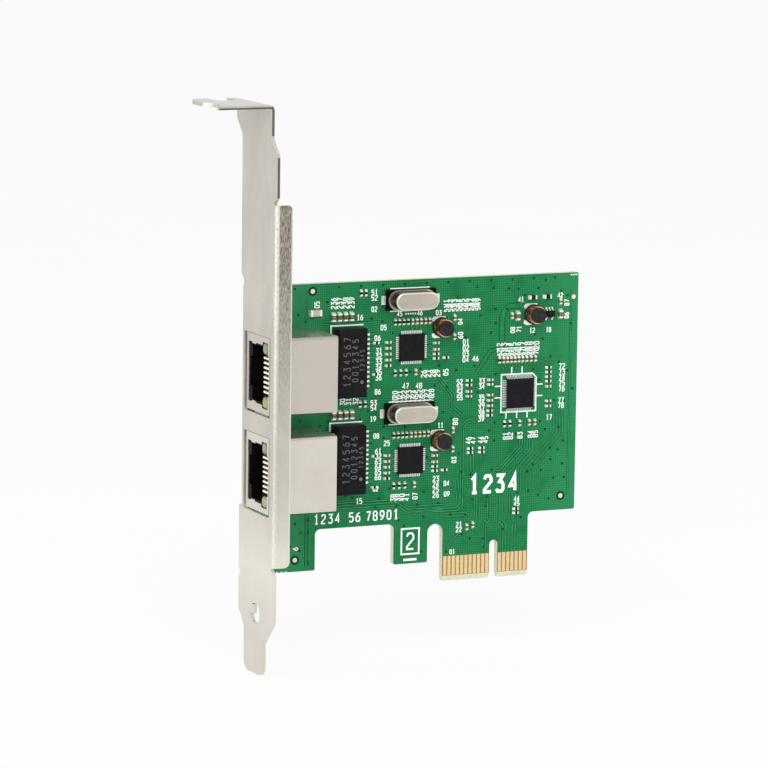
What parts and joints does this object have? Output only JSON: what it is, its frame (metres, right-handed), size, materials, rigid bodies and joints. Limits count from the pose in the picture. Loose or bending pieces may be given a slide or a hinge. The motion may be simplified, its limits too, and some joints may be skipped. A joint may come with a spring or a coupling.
{
  "type": "network interface card",
  "caption": "Green network interface card with stacked modular network sockets, a full-height sheet-metal slot bracket and a keyed gold edge connector.",
  "frame": {"origin": "middle of the key slot in the edge connector, at the tips of the contacts, on the component side of the board", "axes": "+X along the card away from the bracket, +Y out of the solder side, +Z from the contacts up to the top edge of the card"},
  "size_m": [0.0889, 0.0215, 0.1201],
  "materials": {
    "board_mask": "semi-gloss green solder mask on glass-fibre board",
    "edge_gold": "gold-plated contacts",
    "bracket_steel": "satin nickel-plated sheet steel",
    "rivet_steel": "satin plated steel",
    "shield_steel": "tinned sheet steel",
    "socket_plastic": "black moulded plastic",
    "contact_gold": "gold-plated spring wire",
    "green_lens": "tinted moulded lens",
    "yellow_lens": "tinted moulded lens",
    "tinned_lead": "bright tin plating",
    "chip_black": "fine-textured moulded epoxy",
    "crystal_can": "satin nickel-plated can",
    "crystal_base": "black moulded base",
    "ferrite": "dark sintered ferrite",
    "copper_wire": "enamelled copper winding",
    "capacitor_ceramic": "matt tan ceramic",
    "pale_ceramic": "matt pale ceramic",
    "resistor_glaze": "black glazed film",
    "solder": "bright solder"
  },
  "bodies": {
    "root": {"circuit_board": "board_mask", "edge_contacts_front": "edge_gold", "edge_contacts_back": "edge_gold", "bracket": "bracket_steel", "bracket_rivets": "rivet_steel", "bridge_chip_body": "chip_black", "bridge_chip_leads": "tinned_lead", "regulator_body": "chip_black", "regulator_leads": "tinned_lead", "chip_capacitor_bodies": "capacitor_ceramic", "chip_resistor_bodies": "resistor_glaze", "large_chip_body": "pale_ceramic", "chip_ends": "solder", "upper_socket_shield": "shield_steel", "upper_socket_housing": "socket_plastic", "upper_socket_contacts": "contact_gold", "upper_socket_tails": "tinned_lead", "upper_green_lens": "green_lens", "upper_yellow_lens": "yellow_lens", "upper_transformer_body": "chip_black", "upper_transformer_leads": "tinned_lead", "upper_lan_chip_body": "chip_black", "upper_lan_chip_terminals": "tinned_lead", "upper_crystal_can": "crystal_can", "upper_crystal_base": "crystal_base", "upper_crystal_leads": "tinned_lead", "lower_socket_shield": "shield_steel", "lower_socket_housing": "socket_plastic", "lower_socket_contacts": "contact_gold", "lower_socket_tails": "tinned_lead", "lower_green_lens": "green_lens", "lower_yellow_lens": "yellow_lens", "lower_transformer_body": "chip_black", "lower_transformer_leads": "tinned_lead", "lower_lan_chip_body": "chip_black", "lower_lan_chip_terminals": "tinned_lead", "lower_crystal_can": "crystal_can", "lower_crystal_base": "crystal_base", "lower_crystal_leads": "tinned_lead", "upper_inductor_core": "ferrite", "upper_inductor_coil": "copper_wire", "lower_inductor_core": "ferrite", "lower_inductor_coil": "copper_wire", "supply_inductor_core": "ferrite", "supply_inductor_coil": "copper_wire"}
  },
  "joints": []
}
